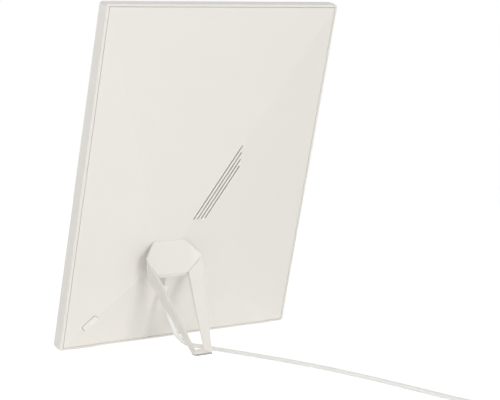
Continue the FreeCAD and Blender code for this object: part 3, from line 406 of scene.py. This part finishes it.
def coilPoints(coil, radius):
    # One flat layer winds in and a second, on top of it, winds out: the radius falls evenly with the
    # turns, stays for the climb while the cord rises by its own thickness, and grows evenly again.
    turns, climb, points = coil["turns"], coil["climb"], coil["pointsPerTurn"]
    turn = (np.arange(int(coil["leaves"] * points) + 1) - 0.5) / points
    step = (coil["outer"] - coil["inner"]) / turns
    reach = np.maximum(coil["outer"] - step * turn, coil["inner"])
    reach = np.where(turn > turns + climb, coil["inner"] + step * (turn - turns - climb), reach)
    height = radius * (1 + 2 * np.clip((turn - turns) / climb, 0, 1))
    reach = reach / math.cos(math.pi / points)
    angle = np.radians(coil["enters"]) + 2 * np.pi * turn
    middle = coil["middle"]
    across, along = middle[0] + reach * np.cos(angle), middle[1] + reach * np.sin(angle)
    return np.stack([across, along, height], -1)


def splineCurve(name, points, lead):
    # One NURBS spline with the given control points, as thick as the cord.
    curve = bpy.data.curves.new(name, "CURVE")
    curve.dimensions = "3D"
    spline = curve.splines.new("NURBS")
    spline.points.add(len(points) - 1)
    spline.points.foreach_set("co", np.column_stack([points, np.ones(len(points))]).ravel())
    spline.order_u = lead["order"]
    spline.use_endpoint_u = True
    spline.resolution_u = lead["stepsPerPoint"]
    curve.bevel_depth = lead["radius"] * mm
    curve.bevel_resolution = lead["roundness"]
    curve.use_fill_caps = True
    return curve


def makeCord(lead, coil):
    # The control points of its parts in turn: below the relief, hanging, lying, coiled, and the tail.
    radius = lead["radius"]
    top = fromHub([lead["tip"], lead["belowTip"]])
    lies = [(x, y, radius) for x, y in lead["lies"]]
    rest = np.concatenate([lead["hangs"], lies, coilPoints(coil, radius), lead["tail"]]) * mm
    points = np.concatenate([top, rest])
    curve = splineCurve("lampCord", points, lead)
    made = addPiece("lampCord", curve, "cord", ["power_cord", "cord_coil", "cord_tail"])
    return made, points


cord, cordPoints = makeCord(cordLead, cordCoil)
print("cord:", len(cordPoints), "points")

# The ribbed reliefs, at the plug in the hub's axes and at the adapter in the part's own.
plugSleeve = {
    "root": 2.5,
    "tip": 2.1,
    "length": 9.5,
    "ribs": 5,
    "ribDepth": 0.35,
    "start": (0, 16.9, 67.5),
    "onward": (0, 16.9, 60.0),
}
adapterSleeve = {"root": 4.2, "tip": 2.5, "length": 12, "ribs": 6, "ribDepth": 0.5}
adapterPlace = {"tip": (-127.04, 278.88, 7.0), "heading": 223.4}
sleeveDetail = {"stepsPerRib": 12, "around": 32, "ribbedFrom": 0.12, "ribbedTo": 0.92}


def ribbedSleeve(sleeve, start, heading):
    # The radius falls evenly from root to tip, less a groove between ribs that follows a squared sine.
    along = np.linspace(0, sleeve["length"], sleeveDetail["stepsPerRib"] * sleeve["ribs"] + 1)
    share = along / sleeve["length"]
    taper = sleeve["root"] + (sleeve["tip"] - sleeve["root"]) * share
    groove = sleeve["ribDepth"] * np.sin(np.pi * sleeve["ribs"] * share) ** 2
    groove[(share < sleeveDetail["ribbedFrom"]) | (share > sleeveDetail["ribbedTo"])] = 0
    return turnedRings(along * mm, (taper - groove) * mm, sleeveDetail["around"], start, heading)


def makePlugSleeve(sleeve):
    start, onward = fromHub([sleeve["start"], sleeve["onward"]])
    mesh = tubeMesh("plugSleeve", ribbedSleeve(sleeve, start, onward - start))
    addPiece("plugSleeve", mesh, "plug", ["plug_relief"])


def makeAdapterSleeve(sleeve, place):
    # It starts at the adapter and ends at its tip, against the way that the adapter lies.
    turned = math.radians(place["heading"])
    ahead = np.array([math.cos(turned), math.sin(turned), 0.0])
    root = np.array(place["tip"]) + ahead * sleeve["length"]
    mesh = tubeMesh("adapterSleeve", ribbedSleeve(sleeve, root * mm, -ahead))
    return addPiece("adapterSleeve", mesh, "adapter", ["adapter_relief"])


makePlugSleeve(plugSleeve)
adapterCuff = makeAdapterSleeve(adapterSleeve, adapterPlace)

coilBand = {
    "inside": 13.3,
    "outside": 32.3,
    "height": 7.6,
    "thickness": 1.0,
    "width": 6.0,
    "steps": 96,
    "squareness": 7,
    "section": [  # shares of the thickness and of half the width
        (-0.5, -1),
        (-0.42, -1),
        (0.42, -1),
        (0.5, -0.94),
        (0.5, 0.94),
        (0.42, 1),
        (-0.42, 1),
        (-0.5, 0.94),
    ],
}


def makeTie(band):
    # A flat strap: its section is carried round the wound cord on a superellipse, x to the power n plus
    # z to the power n, where the high power n keeps it close to a rectangle with round corners.
    middle, thick, steps = cordCoil["middle"], band["thickness"], band["steps"]
    near, far = middle[0] + band["inside"] - thick / 2, middle[0] + band["outside"] + thick / 2
    angle = np.linspace(0, 2 * np.pi, steps, endpoint=False)
    power = 2 / band["squareness"]
    across = np.sign(np.cos(angle)) * np.abs(np.cos(angle)) ** power
    upward = np.sign(np.sin(angle)) * np.abs(np.sin(angle)) ** power
    section = np.array(band["section"])
    halfLength, halfHeight = (far - near) / 2, (band["height"] + thick) / 2
    grow = section[:, 0] * thick
    x = (near + far) / 2 + across[:, None] * (halfLength + grow)
    y = middle[1] + np.broadcast_to(section[:, 1] * band["width"] / 2, x.shape)
    z = band["height"] / 2 + upward[:, None] * (halfHeight + grow)
    rings = np.stack([x, y, np.maximum(z, 0.0)], -1) * mm
    faces = gridFaces(steps + 1, len(section)) % (steps * len(section))
    mesh = bpy.data.meshes.new("coilTie")
    mesh.from_pydata(rings.reshape(-1, 3).tolist(), [], faces.tolist())
    return addPiece("coilTie", facedOut(mesh), "tie", ["coil_tie"])


coilTie = makeTie(coilBand)
print("sleeves and tie")

# Nodes whose edges are eased: the new piece's name, the width of its eased edges and its body.
easedShells = {
    "hub_cap": ("hubCap", 0.00020, "panel"),
    "leg_left": ("legLeft", 0.00025, "stand"),
    "leg_right": ("legRight", 0.00025, "stand"),
    "foot_bar": ("footBar", 0.00025, "stand"),
    "power_button": ("powerButton", 0.00018, "button"),
    "dc_plug": ("dcPlug", 0.00020, "panel"),
}
for node, (name, width, body) in easedShells.items():
    easedCopy(node, name, width, body)
print("eased shells:", len(easedShells))

pressedDome = {"width": 0.00012, "travel": 0.001, "outward": (0.0, 0.967621, -0.252407)}


def makeDome(dome):
    # The silicone dome's eased copy is baked into its own plain mesh, and its lowest point along the
    # outward direction is found.
    piece = easedCopy("button_dome", "buttonDome", dome["width"])
    bpy.context.view_layer.update()
    final = bpy.data.meshes.new_from_object(piece.evaluated_get(bpy.context.evaluated_depsgraph_get()))
    piece.modifiers.clear()
    piece.data = final
    points = np.empty(3 * len(final.vertices))
    final.vertices.foreach_get("co", points)
    points = points.reshape(-1, 3)
    height = points @ np.array(dome["outward"])
    anchor = tuple(points[height.argmin()])
    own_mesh(piece)


makeDome(pressedDome)

# The CAD nodes that stay in view get their finishes.
for name, node in nodes.items():
    if name in slotOf:
        node.data.materials.clear()
        node.data.materials.append(finishes[slotOf[name]].material)

studio = {
    "floorReach": 1.1,
    "floorTone": 0.92,
    "floorLift": 0.50,  # what only the lens sees
    "floorBounce": 0.20,  # what also reaches the object
    "surround": 0.43,  # the light from all round
    "lean": (0.0, 0.10, -0.06),  # how much more of it comes from there than from the other way
    "aim": (0.0, 0.0, 0.12),
    "lamps": {
        "lowLamp": {"place": (0.08, 1.40, 0.30), "power": 5.2, "size": 0.55},
        "highLamp": {"place": (0.9, 1.0, 1.95), "power": 11.5, "size": 1.0},
        "farLamp": {"place": (1.3, -1.6, 0.5), "power": 8.0, "size": 0.8},
        "frontLamp": {"place": (-0.5, -1.7, 1.1), "power": 4.0, "size": 0.9},
    },
}


def joinNodes(tree, *pairs):
    for start, end in pairs:
        tree.links.new(start, end)


def seenOrMirrored(tree):
    # One for what the lens, a mirror or glass sees, and zero for what only gets light.
    path = tree.nodes.new("ShaderNodeLightPath")
    most = path.outputs["Is Camera Ray"]
    for ray in ("Is Glossy Ray", "Is Transmission Ray"):
        larger = tree.nodes.new("ShaderNodeMath")
        larger.operation = "MAXIMUM"
        joinNodes(tree, (most, larger.inputs[0]), (path.outputs[ray], larger.inputs[1]))
        most = larger.outputs[0]
    return most


def makeFloor(studio):
    # A flat sheet; it shows white where nothing shades it and keeps the shadow.
    edge = studio["floorReach"]
    corners = [(-edge, -edge, 0), (edge, -edge, 0), (edge, edge, 0), (-edge, edge, 0)]
    mesh = bpy.data.meshes.new("tableTop")
    mesh.from_pydata(corners, [], [(0, 1, 2, 3)])
    floor = bpy.data.objects.new("tableTop", mesh)
    bpy.context.scene.collection.objects.link(floor)
    material = bpy.data.materials.new("paleTable")
    material.use_nodes = True
    tree = material.node_tree
    tree.nodes.clear()
    diffuse = tree.nodes.new("ShaderNodeBsdfDiffuse")
    diffuse.inputs["Color"].default_value = (studio["floorTone"],) * 3 + (1,)
    strength = tree.nodes.new("ShaderNodeMix")
    strength.inputs["A"].default_value = studio["floorBounce"]
    strength.inputs["B"].default_value = studio["floorLift"]
    glow = tree.nodes.new("ShaderNodeEmission")
    both = tree.nodes.new("ShaderNodeAddShader")
    out = tree.nodes.new("ShaderNodeOutputMaterial")
    joinNodes(
        tree,
        (seenOrMirrored(tree), strength.inputs["Factor"]),
        (strength.outputs["Result"], glow.inputs["Strength"]),
        (diffuse.outputs[0], both.inputs[0]),
        (glow.outputs[0], both.inputs[1]),
        (both.outputs[0], out.inputs[0]),
    )
    mesh.materials.append(material)


def makeSurround(studio):
    # Light from all round, a little stronger from the open side: strength = surround + direction . lean.
    world = bpy.data.worlds.new("studioSurround")
    bpy.context.scene.world = world
    world.use_nodes = True
    tree = world.node_tree
    tree.nodes.clear()
    direction = tree.nodes.new("ShaderNodeTexCoord")
    toward = tree.nodes.new("ShaderNodeVectorMath")
    toward.operation = "DOT_PRODUCT"
    toward.inputs[1].default_value = studio["lean"]
    level = tree.nodes.new("ShaderNodeMath")
    level.operation = "ADD"
    level.inputs[1].default_value = studio["surround"]
    lit = tree.nodes.new("ShaderNodeBackground")
    shown = tree.nodes.new("ShaderNodeBackground")
    for light in (lit, shown):
        light.inputs["Color"].default_value = (1, 1, 1, 1)
    shown.inputs["Strength"].default_value = 1.0
    chosen = tree.nodes.new("ShaderNodeMixShader")
    out = tree.nodes.new("ShaderNodeOutputWorld")
    joinNodes(
        tree,
        (direction.outputs["Generated"], toward.inputs[0]),
        (toward.outputs["Value"], level.inputs[0]),
        (level.outputs[0], lit.inputs["Strength"]),
        (seenOrMirrored(tree), chosen.inputs[0]),
        (lit.outputs[0], chosen.inputs[1]),
        (shown.outputs[0], chosen.inputs[2]),
        (chosen.outputs[0], out.inputs[0]),
    )


def softLamp(name, lamp, aim):
    # A round soft light that faces the lamp's middle.
    data = bpy.data.lights.new(name, "AREA")
    data.shape, data.size, data.energy = "DISK", lamp["size"], lamp["power"]
    made = bpy.data.objects.new(name, data)
    made.location = lamp["place"]
    made.rotation_euler = (Vector(aim) - Vector(lamp["place"])).to_track_quat("-Z", "Y").to_euler()
    bpy.context.scene.collection.objects.link(made)


makeFloor(studio)
makeSurround(studio)
for name, lamp in studio["lamps"].items():
    softLamp(name, lamp, studio["aim"])
bpy.context.scene.view_settings.view_transform = "Standard"
print("studio ready")
